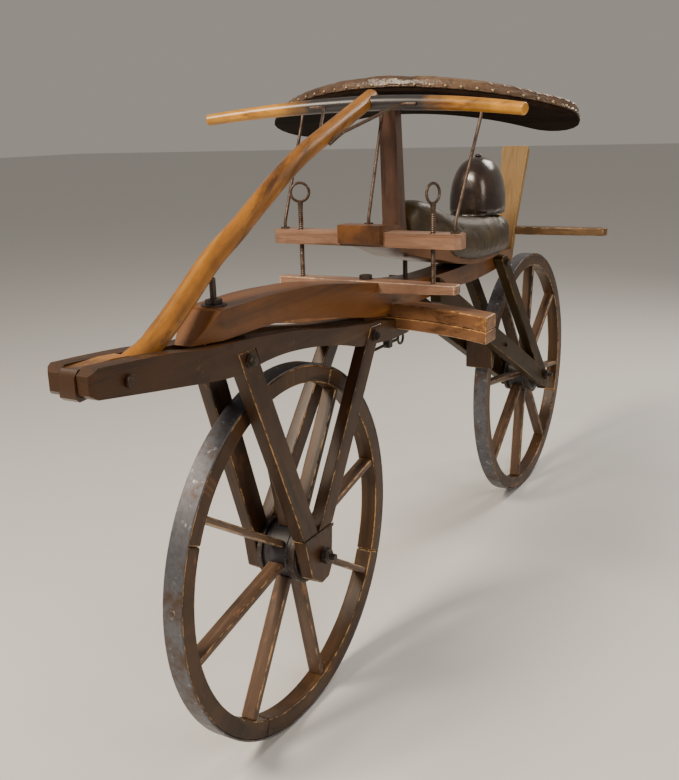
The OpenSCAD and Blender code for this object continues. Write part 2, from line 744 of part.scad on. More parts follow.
function seat_edge() = curve([
    [bar_x + 32, 40], [bar_x + 22, 48], [bar_x - 30, 48], [930, 46], [870, 54], [800, seat_half],
    [620, seat_half], [450, seat_half - 4], [seat_rear_x, seat_half - 20]
], 4);

module seat_board() color("#7c5a34") placed() difference() {
    seat_blank();
    upper_bar_blank();
    // The seat lies this far clear of the beam at its lowest
    translate([0, 0, rub_gap]) beam_blank();
}

module upper_bar_blank() intersection() {
    translate([bar_x - upper_bar_rear, -upper_bar_half, upper_bar_low])
        cube([upper_bar_rear + upper_bar_front, 2 * upper_bar_half, upper_bar_high - upper_bar_low]);
    plan([
        [bar_x - upper_bar_rear, 12 - upper_bar_half], [bar_x - upper_bar_rear, upper_bar_half - 12],
        [bar_x - upper_bar_rear + 12, upper_bar_half], [bar_x + upper_bar_front - 10, upper_bar_half],
        [bar_x + upper_bar_front, upper_bar_half - 10], [bar_x + upper_bar_front, 10 - upper_bar_half],
        [bar_x + upper_bar_front - 10, -upper_bar_half], [bar_x - upper_bar_rear + 12, -upper_bar_half]
    ]);
}

// Slots let the bar swing back past the upright screws as the seat rises
module upper_crossbar() color("#7b5b44") placed() difference() {
    upper_bar_blank();
    for (s = [-1, 1]) translate([bar_x, s * eye_y, deck]) {
        cylinder(r = eye_r + 0.6, h = 300);
        translate([slot_travel, 0, 0]) cylinder(r = eye_r + 0.6, h = 300);
        translate([0, -eye_r - 0.6, 0]) cube([slot_travel, 2 * eye_r + 1.2, 300]);
    }
}

// Iron bracket with two lugs and the fixed pin
module seat_hinge_bracket() color("#4b4038") placed() {
    difference() {
        union() {
            translate([hinge_x - 22, -20, deck + 60]) cube([32, 40, 14]);
            both_sides() translate([hinge_x - 8, 13, deck + 60]) cube([16, 6, 31.5]);
        }
        beam_blank();
        cross_cylinder([hinge_x, hinge_z], hinge_pin_r, 30);
    }
    cross_cylinder([hinge_x, hinge_z], hinge_pin_r, 21);
}

module seat_hinge_leaf() color("#4b4038") placed() difference() {
    union() {
        cross_cylinder([hinge_x, hinge_z], 8, 12.4);
        translate([hinge_x, -12.4, hinge_z - 3]) cube([seat_rear_x - hinge_x, 24.8, 10]);
    }
    cross_cylinder([hinge_x, hinge_z], hinge_pin_r + pin_gap, 30);
}

module balance_post() color("#3f2a1e") placed() difference() {
    intersection() {
        side([[post_x + 22, deck + 155], [post_x + 18, deck + 200], [post_top_x + 13, deck + 470],
            [post_top_x - 13, deck + 470], [post_x - 12, deck + 200], [post_x - 14, deck + 155]], 60);
        translate([post_x - 100, 0, 0]) rotate([90, 0, 90]) linear_extrude(200) polygon([
            [-25, deck + 155], [25, deck + 155], [20, deck + 210], [18, deck + 470],
            [-18, deck + 470], [-20, deck + 210]
        ]);
    }
    seat_blank();
    in_balance() translate([0, 0, -balance_board_t - balance_pad_t]) linear_extrude(200)
        square(1000, center = true);
}

// Frame of the balance board: origin at its front edge's top, tilted up at the front
module in_balance() translate([balance_front[0], 0, balance_front[1]])
    rotate([0, -balance_tilt, 0]) children();

// Crescent of even depth with round ends, drawn about the middle of its curve
module balance_outline(grow = 0) {
    mid_r = balance_r - balance_depth / 2;
    cap_r = balance_depth / 2 + grow;
    end_angle = asin((balance_half - balance_depth / 2) / mid_r);
    arc_steps = 24;
    cap_steps = 10;
    translate([-balance_r, 0]) polygon(concat(
        [for (i = [0 : arc_steps]) (balance_r + grow) * direction(end_angle * (2 * i / arc_steps - 1))],
        [for (i = [1 : cap_steps - 1]) mid_r * direction(end_angle)
            + cap_r * direction(end_angle + 180 * i / cap_steps)],
        [for (i = [0 : arc_steps]) (mid_r - cap_r) * direction(end_angle * (1 - 2 * i / arc_steps))],
        [for (i = [1 : cap_steps - 1]) mid_r * direction(-end_angle)
            + cap_r * direction(180 - end_angle + 180 * i / cap_steps)]
    ));
}

module balance_board() color("#33241a") placed() in_balance()
    translate([0, 0, -balance_board_t - balance_pad_t]) linear_extrude(balance_board_t) balance_outline(-2);

module balance_pad() color("#4a3020") placed() in_balance()
    translate([0, 0, -balance_pad_t]) linear_extrude(balance_pad_t) balance_outline();

function balance_under(x) = balance_front[1]
    - (balance_front[0] - x) * tan(balance_tilt) - (balance_board_t + balance_pad_t) / cos(balance_tilt);

module stay(foot, top_x, top_y) {
    top = [top_x, top_y, balance_under(top_x) - 2.4];
    translate(foot) cylinder(r = 9, h = 3);
    rod([
        foot + [0, 0, 2.5], foot + [0, 0, 12], foot + [-4, 0, 24], top + [8, 0, -30], top + [2, 0, -10], top
    ], stay_r);
}

module balance_stays() color("#6b5138") placed() difference() {
    union() {
        stay([bar_x - 18, 0, deck + 211.5], 908, 0);
        both_sides() stay([bar_x - 6, stay_y, upper_bar_high], 886, stay_top_y);
    }
    seat_blank();
}

function rounded(x, w, low, high, flat, sides) = [
    for (k = [0 : sides - 1])
        let (c = cos(360 * k / sides), s = sin(360 * k / sides))
        [
            x,
            w * sign(c) * pow(abs(c), flat),
            deck + (low + high) / 2 + (high - low) / 2 * sign(s) * pow(abs(s), flat)
        ]
];

module loft(rings) {
    sides = len(rings[0]);
    last = len(rings) - 1;
    walls = [
        for (i = [0 : last - 1], k = [0 : sides - 1])
            let (a = i * sides + k, b = i * sides + (k + 1) % sides)
            each [[a, b + sides, a + sides], [a, b, b + sides]]
    ];
    start_cap = [for (k = [1 : sides - 2]) [0, k + 1, k]];
    end_cap = [for (k = [1 : sides - 2]) [last * sides, last * sides + k, last * sides + k + 1]];
    polyhedron([for (r = rings) each r], concat(walls, start_cap, end_cap));
}

module saddle() color("#4a3c22") placed() difference() {
    loft([for (r = curve(saddle_rings, 2)) rounded(r[0], r[1], r[2], r[3], 0.55, 24)]);
    seat_blank();
    translate([0, 0, rub_gap]) beam_blank();
    bolster_space();
}

module bolster_space() translate([200, -100, bolster_z]) cube([300, 200, 200]);

// Domed leather bolster behind the rider
module saddle_bolster() color("#1d1512") placed() translate([bolster_x, 0, bolster_z]) difference() {
    loft([for (i = [0 : 14]) let (a = 180 * i / 14, w = pow(max(sin(a), 0.08), 0.48)) [
        for (k = [0 : 23])
            let (c = cos(360 * k / 24), s = sin(360 * k / 24))
            [
                -cos(a) * bolster_len / 2,
                bolster_half * w * sign(c) * pow(abs(c), 0.85),
                bolster_high * w * sign(s) * pow(abs(s), 0.7)
            ]
    ]]);
    translate([-200, -200, -400]) cube([400, 400, 400]);
}

module bolster_button() color("#3a2618") placed()
    translate([bolster_x, 0, bolster_z + bolster_high]) cylinder(r = 9, h = 4);

// ---------- Eye screws ----------

module eye_screw(s, turn) placed() translate([bar_x, s * eye_y, 0]) {
    translate([0, 0, lower_bar_low + 2])
        cylinder(r = eye_r, h = eye_centre_z - eye_ring_r - lower_bar_low - 2);
    translate([0, 0, eye_centre_z]) rotate([0, 0, turn]) rotate([0, 90, 0])
        rotate_extrude() translate([eye_ring_r, 0]) circle(r = eye_wire_r, $fn = 24);
}

module eye_screw_left() color("#4f3a2a") eye_screw(1, 73);
module eye_screw_right() color("#4f3a2a") eye_screw(-1, 32);

// ---------- Brake ----------

module brake_pin() color("#4a3a2e") placed() cross_cylinder(brake_pin, brake_pin_r, 74);

module brake_block() color("#4b3a2e") placed() difference() {
    translate([brake_pin[0] - 15, -brake_half, brake_pin[1] - 65]) cube([36, 2 * brake_half, 89]);
    cross_cylinder(brake_pin, brake_pin_r + pin_gap, 100);
    cross_cylinder([0, rear_wheel_r], rear_wheel_r + brake_gap, 100);
}

// ---------- Nodes ----------

module rear_axle() axle(0);
module rear_axle_nuts() axle_nuts(0);
module front_axle() axle(wheelbase);
module front_axle_nuts() axle_nuts(wheelbase);
module front_hub() hub(wheelbase);
module front_hub_irons() hub_irons(wheelbase);
module front_spokes() spokes(wheelbase, 32);
module front_felloes() felloes(wheelbase);
module front_tyre() tyre(wheelbase);
module rear_hub() hub(0);
module rear_hub_irons() hub_irons(0);
module rear_spokes() spokes(0, 8);
module rear_felloes() felloes(0);
module rear_tyre() tyre(0);

main_beam();
lower_crossbar();
fixed_rubbing_board();
rear_long_strut_left();
rear_long_strut_right();
rear_steep_strut_left();
rear_steep_strut_right();
frame_bolts();
rear_axle();
rear_axle_nuts();
brake_pin();
rear_upright();
rear_cross_bar();
seat_hinge_bracket();
kingpin();
kingpin_plate();
kingpin_nut();
steering_cheek_left();
steering_cheek_right();
kingpin_block();
moving_rubbing_board();
fork_front_leg_left();
fork_front_leg_right();
fork_rear_leg_left();
fork_rear_leg_right();
fork_feet();
leg_bolts();
foot_straps();
front_axle();
front_axle_nuts();
tiller_pivot_bolt();
ring_screw();
tiller();
handlebar();
handlebar_braces();
seat_board();
upper_crossbar();
seat_hinge_leaf();
balance_post();
balance_board();
balance_pad();
balance_stays();
saddle();
saddle_bolster();
bolster_button();
eye_screw_left();
eye_screw_right();
brake_block();
front_hub();
front_hub_irons();
front_spokes();
front_felloes();
front_tyre();
rear_hub();
rear_hub_irons();
rear_spokes();
rear_felloes();
rear_tyre();
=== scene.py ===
import json
import math

import bmesh
import bpy
from mathutils import Matrix, Vector, noise


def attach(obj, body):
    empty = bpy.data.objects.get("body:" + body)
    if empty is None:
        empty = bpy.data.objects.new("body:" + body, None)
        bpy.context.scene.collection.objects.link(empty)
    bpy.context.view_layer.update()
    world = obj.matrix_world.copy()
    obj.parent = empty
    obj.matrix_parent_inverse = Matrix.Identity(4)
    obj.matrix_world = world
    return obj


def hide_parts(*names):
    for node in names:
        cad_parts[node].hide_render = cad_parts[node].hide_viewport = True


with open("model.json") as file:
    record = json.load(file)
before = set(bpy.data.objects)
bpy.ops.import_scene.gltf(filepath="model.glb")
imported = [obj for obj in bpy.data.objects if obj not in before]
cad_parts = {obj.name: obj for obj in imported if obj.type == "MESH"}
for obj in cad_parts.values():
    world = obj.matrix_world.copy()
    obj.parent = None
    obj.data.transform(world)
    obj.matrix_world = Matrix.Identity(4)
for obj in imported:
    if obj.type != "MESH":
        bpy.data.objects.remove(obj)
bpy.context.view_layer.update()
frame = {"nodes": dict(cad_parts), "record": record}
nodes = frame["nodes"]
body_of_node = {n: b for b, names in frame["record"]["behaviour"]["bodies"].items() for n in names}
slot_of_node = {s["node"]: s["material_slot"] for s in frame["record"]["subparts"]}

# Main places, in metres: wheel radii, axles, kingpin, crossbars and eye screws
wheel_r = {"front": 0.343, "rear": 0.356}
front_x = 0.587
rear_x = -0.730
kingpin_x = 0.771
bar_x = 0.270
eye_y = 0.146
eye_z = 0.960

# Arm pad: its tilt, thickness, half length, the middle of its front edge, and the radii of its front edge, back edge
# and rounded ends
pad_tilt = math.radians(19.5)
pad_t = 0.026
pad_half = 0.350
pad_front = Vector((0.195, 0, 1.180))
pad_outer_r = 0.447
pad_inner_r = 0.317
pad_end_r = 0.065

X, Y, Z = Vector((1, 0, 0)), Vector((0, 1, 0)), Vector((0, 0, 1))


# ---------- Materials ----------

def colour(code):
    """sRGB hex to linear RGBA."""
    parts = [int(code[i:i + 2], 16) / 255 for i in (0, 2, 4)]
    return [c / 12.92 if c <= 0.04045 else ((c + 0.055) / 1.055) ** 2.4 for c in parts] + [1.0]


def add(tree, kind, settings=None, **inputs):
    """Adds a node. Inputs are values or the output sockets they come from; a number names a socket by place."""
    made = tree.nodes.new("ShaderNode" + kind)
    for key, value in (settings or {}).items():
        setattr(made, key, value)
    for key, value in inputs.items():
        numbered = key[0] == "i" and key[1:].isdigit()
        socket = made.inputs[int(key[1:]) if numbered else key.replace("_", " ")]
        if isinstance(value, bpy.types.NodeSocket):
            tree.links.new(value, socket)
        else:
            socket.default_value = value
    return made


def ramp(tree, factor, stops):
    made = add(tree, "ValToRGB", Fac=factor)
    steps = made.color_ramp.elements
    while len(steps) < len(stops):
        steps.new(0.5)
    for step, (place, tone) in zip(steps, stops):
        step.position = place
        step.color = tone if isinstance(tone, list) else colour(tone)
    return made.outputs["Color"]


def new_material(name):
    made = bpy.data.materials.new(name)
    made.use_nodes = True
    tree = made.node_tree
    tree.nodes.clear()
    shader = add(tree, "BsdfPrincipled")
    add(tree, "OutputMaterial", Surface=shader.outputs["BSDF"])
    return made, tree, shader


def mixed(tree, factor, a, b, blend="MIX"):
    settings = {"data_type": "RGBA", "blend_type": blend, "clamp_factor": True}
    return add(tree, "Mix", settings, i0=factor, i6=a, i7=b).outputs[2]


def maths(tree, kind, a, b=0.0, c=0.0, clamp=False):
    return add(tree, "Math", {"operation": kind, "use_clamp": clamp}, i0=a, i1=b, i2=c).outputs[0]


def wood(name, dark, middle, light, worn, rough=0.45, streak_mm=5.0, edge=0.8, coat=0.12, patch=None,
         shine=0.3):
    """Old wood, planed and oiled or varnished: streaks run along the "grain" attribute, and handling has rubbed
    the edges marked by "wear" down to the worn tone. streak_mm is the width of a dark streak across the grain, and
    a low shine is a finish gone dull."""
    made, tree, shader = new_material(name)
    grain = add(tree, "Attribute", {"attribute_name": "grain"}).outputs["Vector"]
    wear = add(tree, "Attribute", {"attribute_name": "wear"}).outputs["Fac"]
    across = 1000.0 / streak_mm / 4
    stretched = add(tree, "Mapping", Vector=grain, Scale=(across / 22, across, across)).outputs["Vector"]
    streaks = add(tree, "TexNoise", Vector=stretched, Scale=1.0, Detail=6.0, Roughness=0.62, Distortion=0.6)
    streaks = streaks.outputs["Fac"]
    # Pores about 1 mm wide and 30 mm long, drawn coarser than the real ones so that they show
    fine = add(tree, "Mapping", Vector=grain, Scale=(30, 900, 900)).outputs["Vector"]
    pores = add(tree, "TexNoise", Vector=fine, Scale=1.0, Detail=3.0, Roughness=0.6).outputs["Fac"]
    # Stains and handling marks of 60 to 200 mm
    broad = add(tree, "Mapping", Vector=grain, Scale=(6, 11, 11)).outputs["Vector"]
    stains = add(tree, "TexNoise", Vector=broad, Scale=1.0, Detail=4.0, Roughness=0.65).outputs["Fac"]
    tone = ramp(tree, streaks, [(0.30, dark), (0.47, middle), (0.60, middle), (0.74, light)])
    stain_depth = ramp(tree, stains, [(0.33, [0.42, 0.40, 0.38, 1]), (0.52, [1, 1, 1, 1])])
    tone = mixed(tree, 0.85, tone, stain_depth, "MULTIPLY")
    pore_depth = ramp(tree, pores, [(0.34, [0.62, 0.60, 0.58, 1]), (0.55, [1, 1, 1, 1])])
    tone = mixed(tree, 0.55, tone, pore_depth, "MULTIPLY")
    if patch:
        # Spots 40 to 70 mm across where the finish is worn through or has darkened
        moved = add(tree, "Mapping", Vector=grain, Scale=(14, 26, 26), Location=(3.1, 1.7, 0.4))
        spots = add(tree, "TexNoise", Vector=moved.outputs["Vector"], Scale=1.0, Detail=5.0, Roughness=0.7)
        spots = spots.outputs["Fac"]
        spots = ramp(tree, spots, [(0.60, [0, 0, 0, 1]), (0.68, [0.8, 0.8, 0.8, 1])])
        tone = mixed(tree, spots, tone, colour(patch))
    # Rubbed edges break up along their length into chips of 4 to 18 mm
    chips = add(tree, "Mapping", Vector=grain, Scale=(55, 240, 240)).outputs["Vector"]
    chips = add(tree, "TexNoise", Vector=chips, Scale=1.0, Detail=4.0, Roughness=0.7).outputs["Fac"]
    torn = maths(tree, "ADD", maths(tree, "MULTIPLY", chips, 0.8), maths(tree, "MULTIPLY", stains, 0.9))
    rubbed = maths(tree, "SUBTRACT", maths(tree, "ADD", wear, torn), 1.81)
    rubbed = maths(tree, "MULTIPLY", rubbed, 7.0, clamp=True)
    rubbed = maths(tree, "MULTIPLY", rubbed, edge)
    tone = mixed(tree, rubbed, tone, colour(worn))
    tree.links.new(tone, shader.inputs["Base Color"])
    tree.links.new(maths(tree, "MULTIPLY_ADD", stains, -0.22, rough + 0.11), shader.inputs["Roughness"])
    shader.inputs["Specular IOR Level"].default_value = shine
    shader.inputs["Coat Weight"].default_value = coat
    shader.inputs["Coat Roughness"].default_value = 0.28
    height = maths(tree, "ADD", maths(tree, "MULTIPLY", pores, 0.35), streaks)
    bump = add(tree, "Bump", Height=height, Strength=0.4, Distance=0.0006)
    tree.links.new(bump.outputs["Normal"], shader.inputs["Normal"])
    return made


def iron(name, base, rust, rust_share=0.5, rough=0.5, metallic=0.75, grit_mm=6.0, bright=None):
    """Forged iron, hammered and left bare: uneven grey with rust in patches, and low marks from the hammer.
    grit_mm is the size of a mark, and rust_share the share of the surface that rust covers."""
    made, tree, shader = new_material(name)
    place = add(tree, "TexCoord").outputs["Object"]
    marks = 1000 / grit_mm
    patches = add(tree, "TexNoise", Vector=place, Scale=marks / 4, Detail=7.0, Roughness=0.68).outputs["Fac"]
    grit = add(tree, "TexNoise", Vector=place, Scale=marks * 1.6, Detail=4.0, Roughness=0.6).outputs["Fac"]
    low = 0.62 - 0.3 * rust_share
    rusted = ramp(tree, patches, [(low, [0, 0, 0, 1]), (low + 0.16, [1, 1, 1, 1])])
    tone = mixed(tree, rusted, colour(base), colour(rust))
    shaded = ramp(tree, grit, [(0.3, [0.5, 0.5, 0.5, 1]), (0.6, [1, 1, 1, 1])])
    tone = mixed(tree, 0.5, tone, shaded, "MULTIPLY")
    if bright:
        flecks = add(tree, "TexNoise", Vector=place, Scale=marks / 1.2, Detail=5.0, Roughness=0.75)
        flecks = ramp(tree, flecks.outputs["Fac"], [(0.60, [0, 0, 0, 1]), (0.70, [1, 1, 1, 1])])
        tone = mixed(tree, flecks, tone, colour(bright))
    tree.links.new(tone, shader.inputs["Base Color"])
    shader.inputs["Metallic"].default_value = metallic
    tree.links.new(maths(tree, "MULTIPLY_ADD", patches, 0.3, rough - 0.15), shader.inputs["Roughness"])
    height = maths(tree, "MULTIPLY_ADD", grit, 0.4, patches)
    bump = add(tree, "Bump", Height=height, Strength=0.5, Distance=0.0008)
    tree.links.new(bump.outputs["Normal"], shader.inputs["Normal"])
    return made


def leather(name, base, dark, light, rough=0.4, crease_mm=9.0, coat=0.2, fold=0.5, crack=0.4):
    """Cowhide aged on a stuffed form: fine cracked grain, darker where hands and clothes have greased it.
    crease_mm is the distance between cracks, crack how dark they are and fold how deep."""
    made, tree, shader = new_material(name)
    place = add(tree, "TexCoord").outputs["Object"]
    bent = add(tree, "TexNoise", Vector=place, Scale=18.0, Detail=3.0).outputs["Color"]
    # The cracks wander by up to 12 mm
    wander = (0.012, 0.012, 0.012)
    warped = add(tree, "VectorMath", {"operation": "MULTIPLY_ADD"}, i0=bent, i1=wander, i2=place).outputs[0]
    edges = {"feature": "DISTANCE_TO_EDGE"}
    cracks = add(tree, "TexVoronoi", edges, Vector=warped, Scale=1000 / crease_mm).outputs["Distance"]
    cracks = maths(tree, "MULTIPLY", cracks, 4.0, clamp=True)
    pebble = add(tree, "TexNoise", Vector=place, Scale=700.0, Detail=3.0).outputs["Fac"]
    stains = add(tree, "TexNoise", Vector=place, Scale=14.0, Detail=6.0, Roughness=0.7).outputs["Fac"]
    tone = ramp(tree, stains, [(0.34, dark), (0.52, base), (0.70, light)])
    in_cracks = ramp(tree, cracks, [(0.0, [0.35, 0.33, 0.3, 1]), (0.25, [1, 1, 1, 1])])
    tone = mixed(tree, crack, tone, in_cracks, "MULTIPLY")
    tree.links.new(tone, shader.inputs["Base Color"])
    tree.links.new(maths(tree, "MULTIPLY_ADD", stains, 0.14, rough - 0.07), shader.inputs["Roughness"])
    shader.inputs["Specular IOR Level"].default_value = 0.4
    shader.inputs["Coat Weight"].default_value = coat
    shader.inputs["Coat Roughness"].default_value = 0.22
    height = maths(tree, "MULTIPLY_ADD", pebble, 0.12, cracks)
    bump = add(tree, "Bump", Height=height, Strength=fold, Distance=0.0007)
    tree.links.new(bump.outputs["Normal"], shader.inputs["Normal"])
    return made


# Oiled amber ash of the beam and tiller: warm and streaky, with a satin shine
amber_wood = wood("oiled_amber_ash", "38200c", "6a4018", "8d5c26", "b89460", rough=0.40, streak_mm=9.0,
                  coat=0.2, shine=0.4)
tiller_wood = wood("polished_amber_ash", "4c2d0e", "9a641f", "c98f36", "dcb26a", rough=0.36, streak_mm=8.0,
                   edge=0.6, coat=0.3, patch="5a3513", shine=0.4)
# Dark brown varnish gone thin, with light wood at the rubbed edges
dark_wood = wood("dark_varnished_ash", "1b1008", "3d2510", "55391b", "b8925e", rough=0.44, patch="5c3d1e")
board_wood = wood("worn_dark_ash", "382213", "7c5638", "9d774c", "d09a60", rough=0.42, edge=0.9,
                  patch="a4753f")
# The struts, spokes and rims: an olive brown varnish gone dull
strut_wood = wood("olive_varnished_ash", "130d05", "33240e", "4a3817", "9a8048", rough=0.52, edge=0.6,
                  coat=0.03, shine=0.15)
rim_wood = wood("worn_rim_ash", "1d1209", "46301c", "664a2e", "c49a68", rough=0.48, patch="80552f",
                shine=0.25)
# Crossbars: greyish pink brown, waxed
bar_wood = wood("waxed_grey_beech", "5a3d2c", "94705a", "b08e76", "e0c4a4", rough=0.4, edge=0.85, coat=0.25)
rear_bar_wood = wood("rubbed_rear_bar_ash", "3c2a18", "785b3c", "98774f", "d6b888", rough=0.42, edge=0.9)
# The upright: light bare wood, dry
pale_wood = wood("bare_light_ash", "5c4526", "8a6b42", "a8875a", "c9ad7c", rough=0.62, edge=0.4, coat=0.02,
                 shine=0.2)
hub_wood = wood("painted_dark_hub", "191618", "322e32", "48444c", "8b7a6c", rough=0.45, edge=0.7)
spoke_wood = wood("worn_spoke_ash", "2a1b12", "5a4434", "786050", "b8966e", rough=0.44, patch="80583a",
                  shine=0.35)
# The balance board's near-black, almost shineless wood is painted shade: it stands in for the shadow under the arm
# pad
painted_shade_under_wood = wood("painted_shade_underside_ash", "0e0906", "1e140d", "2e2016", "4e3b2a", rough=0.75, edge=0.4,
                  coat=0.0, shine=0.06)
post_wood = wood("polished_dark_post", "2a1a14", "51382c", "705242", "a88268", rough=0.3, edge=0.35, coat=0.4)
black_iron = iron("forged_black_iron", "4b4643", "4a3020", 0.45, rough=0.5, bright="8c8880")
rusty_iron = iron("rusty_forged_iron", "62534a", "46301f", 0.5, rough=0.5, bright="a08c76")
tyre_iron = iron("rolled_tyre_iron", "66666c", "5c4a3e", 0.4, rough=0.48, grit_mm=14.0, bright="b4b2b0")
brown_leather = leather("brown_greased_leather", "5a4434", "3a2a1e", "7c6248", rough=0.40, coat=0.2,
                        crack=0.25)
olive_leather = leather("olive_gathered_leather", "352813", "1e1609", "4c3c1e", rough=0.47, coat=0.06,
                        crack=0.2, fold=0.3)
black_leather = leather("polished_black_leather", "271b17", "150e0b", "3c2c22", rough=0.24, crease_mm=6.0,
                        coat=0.5, fold=0.1, crack=0.08)
# Domed brass tacks, dulled
tack_brass = iron("dull_brass", "a99773", "6e5838", 0.3, rough=0.4, metallic=0.7)

finish = {
    "beam_wood": amber_wood, "dark_wood": dark_wood, "strut_wood": strut_wood, "bar_wood": bar_wood,
    "pale_wood": pale_wood, "hub_wood": hub_wood, "handle_wood": amber_wood, "old_iron": black_iron,
    "rusty_iron": rusty_iron, "tyre_iron": tyre_iron, "brown_leather": brown_leather,
    "olive_leather": olive_leather, "black_leather": black_leather,
}


# ---------- Making pieces ----------

def straight(along, across=Y):
    """Grain that runs one way: gives a point's place along the board and across it, in metres."""
    along = Vector(along).normalized()
    side = (Vector(across) - along * Vector(across).dot(along)).normalized()
    up = along.cross(side)
    return lambda p: (p.dot(along), p.dot(side), p.dot(up))


def round_wheel(centre_x, radius):
    """Grain that follows the rim; the angle is counted from the joint between two lengths of it."""
    def place(p):
        turn = (math.degrees(math.atan2(p.z - radius, p.x - centre_x)) - 24) % 360
        return (math.radians(turn) * radius, p.y, math.hypot(p.x - centre_x, p.z - radius))
    return place


def along_spokes(centre_x, radius, first):
    """Grain that runs out along each spoke, different in each one."""
    def place(p):
        turn = math.degrees(math.atan2(p.z - radius, p.x - centre_x)) - first
        count = round(turn / 45)
        off = math.radians(turn - 45 * count)
        reach = math.hypot(p.x - centre_x, p.z - radius)
        return (reach * math.cos(off) + (count % 8) * 0.7, reach * math.sin(off) + (count % 8) * 0.09, p.y)
    return place


def marked(bm, grain, worn_faces=()):
    """Writes the grain and the worn edges into the mesh."""
    layer = bm.verts.layers.float_vector.new("grain")
    for v in bm.verts:
        v[layer] = grain(v.co)
    wear = bm.loops.layers.float.new("wear")
    worn = set(worn_faces)
    for face in worn:
        for loop in face.loops:
            loop[wear] = 0.35 if any(f not in worn for f in loop.vert.link_faces) else 1.0


def piece(name, bm, body, material, smooth=35, replaced=()):
    """Turns a finished bmesh into an object that rides on a body."""
    mesh = bpy.data.meshes.new(name)
    bm.to_mesh(mesh)
    bm.free()
    mesh.shade_smooth()
    if smooth < 180:
        mesh.set_sharp_from_angle(angle=math.radians(smooth))
    made = bpy.data.objects.new(name, mesh)
    bpy.context.scene.collection.objects.link(made)
    mesh.materials.append(material)
    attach(made, body)
    if replaced:
        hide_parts(*replaced)
    return made


def merged(node):
    """The node's own shape with its corners joined and its flat faces whole."""
    bm = bmesh.new()
    bm.from_mesh(nodes[node].data)
    bmesh.ops.remove_doubles(bm, verts=bm.verts, dist=0.00002)
    bmesh.ops.dissolve_limit(bm, angle_limit=math.radians(0.6), verts=bm.verts, edges=bm.edges)
    return bm


def softened(node, width, grain, material=None, angle=28, segments=3, smooth=40):
    """A worn copy of a hard-edged node: its edges are rounded by width and marked as rubbed."""
    bm = merged(node)
    turn = math.radians(angle)
    sharp = [e for e in bm.edges
             if e.is_manifold and e.calc_face_angle(0) > turn and e.calc_length() > width * 0.6]
    made = bmesh.ops.bevel(bm, geom=sharp, affect="EDGES", offset=width, segments=segments, profile=0.5,
                           material=-1, clamp_overlap=True)
    marked(bm, grain, [f for f in made["faces"] if f.is_valid])
    slot = slot_of_node[node]
    out = piece("worn_" + node, bm, body_of_node[node], material or finish[slot], smooth, (node,))
    even = out.modifiers.new("Even normals", "WEIGHTED_NORMAL")
    even.keep_sharp = True


# ---------- Wooden pieces ----------

along_x = straight(X)
along_y = straight(Y, X)
along_z = straight(Z)
softened("main_beam", 0.006, along_x)
softened("tiller", 0.002, straight((-0.80, 0, 0.60)), tiller_wood, angle=45, smooth=60)
softened("seat_board", 0.004, along_x, amber_wood)
for bar in ("lower_crossbar", "upper_crossbar"):
    softened(bar, 0.0035, along_y)
softened("rear_cross_bar", 0.005, along_y, rear_bar_wood)
softened("rear_upright", 0.003, straight((-0.266, 0, 0.964)))
for board in ("fixed_rubbing_board", "moving_rubbing_board"):
    softened(board, 0.004, along_y, board_wood)
for side in ("left", "right"):
    softened("steering_cheek_" + side, 0.004, along_x)
    softened("fork_front_leg_" + side, 0.0035, straight((0.36, 0, 0.933)))
    softened("fork_rear_leg_" + side, 0.0035, straight((-0.60, 0, 0.80)))
    softened("rear_long_strut_" + side, 0.003, straight((0.886, 0, 0.464)))
    softened("rear_steep_strut_" + side, 0.003, straight((0.657, 0, 0.754)))
softened("kingpin_block", 0.002, along_x)
softened("fork_feet", 0.003, along_z)
softened("balance_post", 0.012, along_z, post_wood, segments=4)
# The balance board takes the near-black wood that paints the shade under the arm pad
softened("balance_board", 0.002, along_y, painted_shade_under_wood)
softened("brake_block", 0.003, along_z)
for wheel, centre, first in (("front", front_x, 32), ("rear", rear_x, 8)):
    rim = round_wheel(centre, wheel_r[wheel])
    softened(wheel + "_felloes", 0.004, rim, rim_wood)
    softened(wheel + "_spokes", 0.0058, along_spokes(centre, wheel_r[wheel], first), spoke_wood,
             segments=4, smooth=60)
    softened(wheel + "_hub", 0.003, rim)
    softened(wheel + "_tyre", 0.0012, rim, tyre_iron, angle=40)
    softened(wheel + "_hub_irons", 0.001, rim, black_iron, angle=40)


# The handlebar: gold towards its ends, blue-black where the tiller and the iron have stained its middle
def handlebar_finish():
    made = wood("hand_worn_ash_bar", "7c4a10", "c98c2c", "e8b553", "efcb8c", rough=0.34, edge=0.6,
                coat=0.3, shine=0.4)
    tree = made.node_tree
    shader = next(n for n in tree.nodes if n.type == "BSDF_PRINCIPLED")
    tone = shader.inputs["Base Color"].links[0].from_socket
    place = add(tree, "TexCoord").outputs["Object"]
    y = add(tree, "SeparateXYZ", Vector=place).outputs["Y"]
    ragged = add(tree, "TexNoise", Vector=place, Scale=30.0, Detail=4.0).outputs["Fac"]
    reach = maths(tree, "ADD", maths(tree, "ABSOLUTE", y), maths(tree, "MULTIPLY", ragged, 0.05))
    half_length = 0.34
    middle = maths(tree, "DIVIDE", reach, half_length)
    middle = ramp(tree, middle, [(0.42, [1, 1, 1, 1]), (0.62, [0, 0, 0, 1])])
    tree.links.new(mixed(tree, middle, tone, colour("2b282a")), shader.inputs["Base Color"])
    return made


